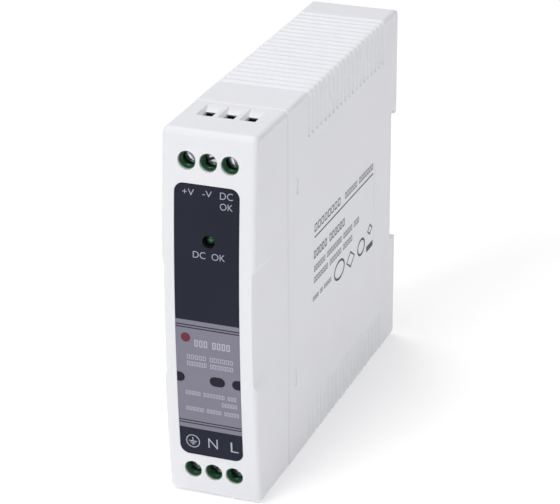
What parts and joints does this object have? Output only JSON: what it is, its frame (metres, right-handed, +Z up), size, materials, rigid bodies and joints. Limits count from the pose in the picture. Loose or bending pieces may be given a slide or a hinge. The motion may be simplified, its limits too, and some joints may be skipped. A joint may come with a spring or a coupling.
{
  "type": "din rail power supply",
  "caption": "Slim plastic-cased AC to DC power supply that clips on a DIN rail, with screw terminals at top and bottom, a status lamp and a sprung latch.",
  "frame": {"origin": "middle of the bounding box's bottom face, where the case stands", "axes": "+Z up the case from the input to the output terminals, +Y from the front face back to the rail, +X to the right seen from the front"},
  "size_m": [0.0226, 0.1, 0.09],
  "materials": {
    "shell_plastic": "fine satin moulded off-white plastic",
    "panel_film": "printed dark blue-grey film, satin",
    "latch_plastic": "black moulded nylon",
    "terminal_plastic": "dark green moulded nylon",
    "plated_steel": "zinc or nickel plated steel",
    "brass": "tin-flashed brass strip",
    "aluminium": "rolled aluminium",
    "board_laminate": "glass-epoxy board with green solder mask",
    "black_plastic": "black moulded plastic and epoxy",
    "lamp_plastic": "clear green tinted epoxy",
    "copper": "enamelled copper wire",
    "ferrite": "sintered ferrite",
    "sleeve_film": "shrink sleeve on an aluminium can",
    "blue_epoxy": "dipped blue epoxy",
    "green_epoxy": "dipped green epoxy",
    "yellow_plastic": "yellow tape and moulded box",
    "nylon": "natural white nylon",
    "sheet_film": "insulating film"
  },
  "bodies": {
    "root": {"rear_case": "shell_plastic", "front_cover": "shell_plastic", "front_panel": "panel_film", "latch_spring": "plated_steel", "output_terminal_body": "terminal_plastic", "output_contact_1": "brass", "output_contact_2": "brass", "output_contact_3": "brass", "input_terminal_body": "terminal_plastic", "input_contact_1": "brass", "input_contact_2": "brass", "input_contact_3": "brass", "status_lamp": "lamp_plastic", "lamp_spacer": "black_plastic", "front_board": "board_laminate", "board_link": "black_plastic", "insulating_sheet": "sheet_film", "input_fuse": "black_plastic", "varistor": "blue_epoxy", "inrush_thermistor": "green_epoxy", "x_capacitor": "yellow_plastic", "choke_core": "ferrite", "choke_winding_line": "copper", "choke_winding_neutral": "copper", "bridge_rectifier": "black_plastic", "bulk_capacitor": "sleeve_film", "power_switch": "black_plastic", "primary_heatsink": "aluminium", "controller_chip": "black_plastic", "transformer_core": "ferrite", "transformer_bobbin": "black_plastic", "transformer_winding": "yellow_plastic", "y_capacitor": "blue_epoxy", "optocoupler": "nylon", "output_diode": "black_plastic", "output_heatsink": "aluminium", "output_capacitor_1": "sleeve_film", "output_capacitor_2": "sleeve_film", "output_inductor": "ferrite", "signal_relay": "nylon", "snubber_resistor": "green_epoxy", "main_board": "board_laminate"},
    "rail_latch": {"rail_latch": "latch_plastic"},
    "output_screw_1": {"output_screw_1": "plated_steel"},
    "output_screw_2": {"output_screw_2": "plated_steel"},
    "output_screw_3": {"output_screw_3": "plated_steel"},
    "output_cage_1": {"output_cage_1": "plated_steel"},
    "output_cage_2": {"output_cage_2": "plated_steel"},
    "output_cage_3": {"output_cage_3": "plated_steel"},
    "input_screw_1": {"input_screw_1": "plated_steel"},
    "input_screw_2": {"input_screw_2": "plated_steel"},
    "input_screw_3": {"input_screw_3": "plated_steel"},
    "input_cage_1": {"input_cage_1": "plated_steel"},
    "input_cage_2": {"input_cage_2": "plated_steel"},
    "input_cage_3": {"input_cage_3": "plated_steel"}
  },
  "joints": [
    {"name": "rail_latch_slide", "type": "slide", "parent": "root", "child": "rail_latch", "axis": [0, 0, -1], "range_m": [0, 0.0035], "stiffness_N_per_m": 400, "springref_m": -0.004, "deforming": ["latch_spring"]},
    {"name": "output_cage_1_rise", "type": "slide", "parent": "root", "child": "output_cage_1", "axis": [0, -1, 0], "range_m": [0, 0.00225]},
    {"name": "output_cage_2_rise", "type": "slide", "parent": "root", "child": "output_cage_2", "axis": [0, -1, 0], "range_m": [0, 0.00225]},
    {"name": "output_cage_3_rise", "type": "slide", "parent": "root", "child": "output_cage_3", "axis": [0, -1, 0], "range_m": [0, 0.00225]},
    {"name": "input_cage_1_rise", "type": "slide", "parent": "root", "child": "input_cage_1", "axis": [0, -1, 0], "range_m": [0, 0.00225]},
    {"name": "input_cage_2_rise", "type": "slide", "parent": "root", "child": "input_cage_2", "axis": [0, -1, 0], "range_m": [0, 0.00225]},
    {"name": "input_cage_3_rise", "type": "slide", "parent": "root", "child": "input_cage_3", "axis": [0, -1, 0], "range_m": [0, 0.00225]},
    {"name": "output_screw_1_turn", "type": "hinge", "parent": "root", "child": "output_screw_1", "pos_m": [-0.00508, -0.0435, 0.0832], "axis": [0, 1, 0], "range_deg": [0, 1801]},
    {"name": "output_screw_2_turn", "type": "hinge", "parent": "root", "child": "output_screw_2", "pos_m": [0, -0.0435, 0.0832], "axis": [0, 1, 0], "range_deg": [0, 1801]},
    {"name": "output_screw_3_turn", "type": "hinge", "parent": "root", "child": "output_screw_3", "pos_m": [0.00508, -0.0435, 0.0832], "axis": [0, 1, 0], "range_deg": [0, 1801]},
    {"name": "input_screw_1_turn", "type": "hinge", "parent": "root", "child": "input_screw_1", "pos_m": [-0.00508, -0.0435, 0.0068], "axis": [0, 1, 0], "range_deg": [0, 1801]},
    {"name": "input_screw_2_turn", "type": "hinge", "parent": "root", "child": "input_screw_2", "pos_m": [0, -0.0435, 0.0068], "axis": [0, 1, 0], "range_deg": [0, 1801]},
    {"name": "input_screw_3_turn", "type": "hinge", "parent": "root", "child": "input_screw_3", "pos_m": [0.00508, -0.0435, 0.0068], "axis": [0, 1, 0], "range_deg": [0, 1801]}
  ],
  "couplings": [
    {"joint": "output_screw_1_turn", "follows": "output_cage_1_rise", "rad_per_m": 13963},
    {"joint": "output_screw_2_turn", "follows": "output_cage_2_rise", "rad_per_m": 13963},
    {"joint": "output_screw_3_turn", "follows": "output_cage_3_rise", "rad_per_m": 13963},
    {"joint": "input_screw_1_turn", "follows": "input_cage_1_rise", "rad_per_m": 13963},
    {"joint": "input_screw_2_turn", "follows": "input_cage_2_rise", "rad_per_m": 13963},
    {"joint": "input_screw_3_turn", "follows": "input_cage_3_rise", "rad_per_m": 13963}
  ]
}
